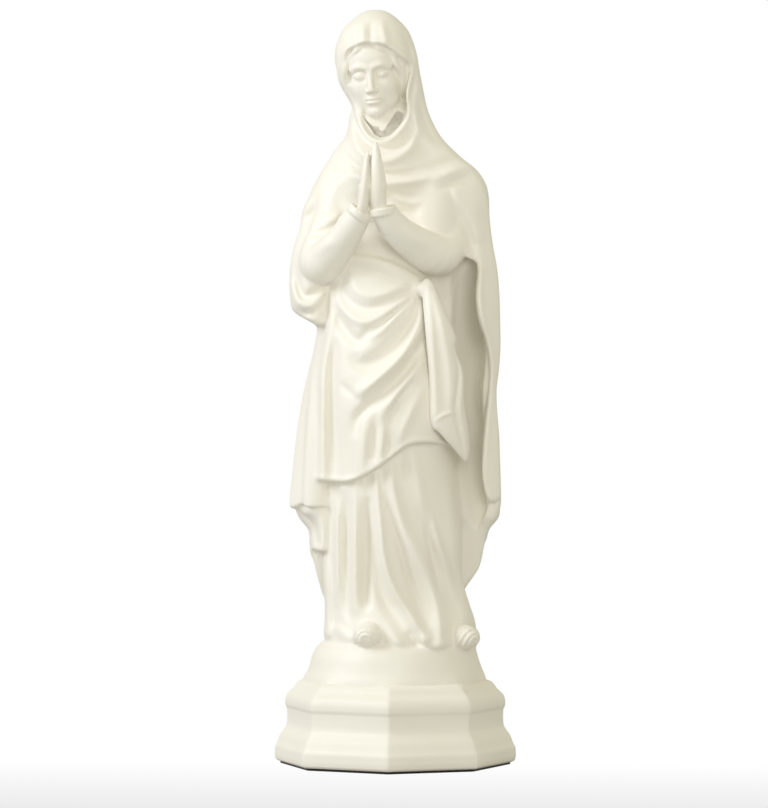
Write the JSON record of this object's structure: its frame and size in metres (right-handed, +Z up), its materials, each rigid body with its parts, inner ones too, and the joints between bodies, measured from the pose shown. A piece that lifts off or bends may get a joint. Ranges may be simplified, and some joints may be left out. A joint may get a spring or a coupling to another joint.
{
  "type": "madonna statue",
  "caption": "Glazed ceramic figure of a praying woman in a veil and cloak, hands joined, standing on a moulded octagonal plinth.",
  "frame": {"origin": "middle of the underside of the felt, on the plinth's axis", "axes": "+Z up along the plinth's axis; -Y towards the front corner of the octagon, which the figure faces within 6 degrees; +X to the figure's left"},
  "size_m": [0.1284, 0.1284, 0.4],
  "materials": {
    "glazed_ceramic": "soft gloss ivory glaze over slip-cast clay",
    "felt": "black wool felt"
  },
  "bodies": {
    "root": {"cascade": "glazed_ceramic", "cloak": "glazed_ceramic", "cowl": "glazed_ceramic", "drape_end": "glazed_ceramic", "elbow_fold": "glazed_ceramic", "head": "glazed_ceramic", "hood": "glazed_ceramic", "left_hair": "glazed_ceramic", "left_hand": "glazed_ceramic", "left_shoe": "glazed_ceramic", "left_sleeve": "glazed_ceramic", "mound": "glazed_ceramic", "plinth": "glazed_ceramic", "right_hair": "glazed_ceramic", "right_hand": "glazed_ceramic", "right_shoe": "glazed_ceramic", "right_sleeve": "glazed_ceramic", "skirt": "glazed_ceramic", "torso": "glazed_ceramic", "wrap": "glazed_ceramic", "felt": "felt"}
  },
  "joints": []
}
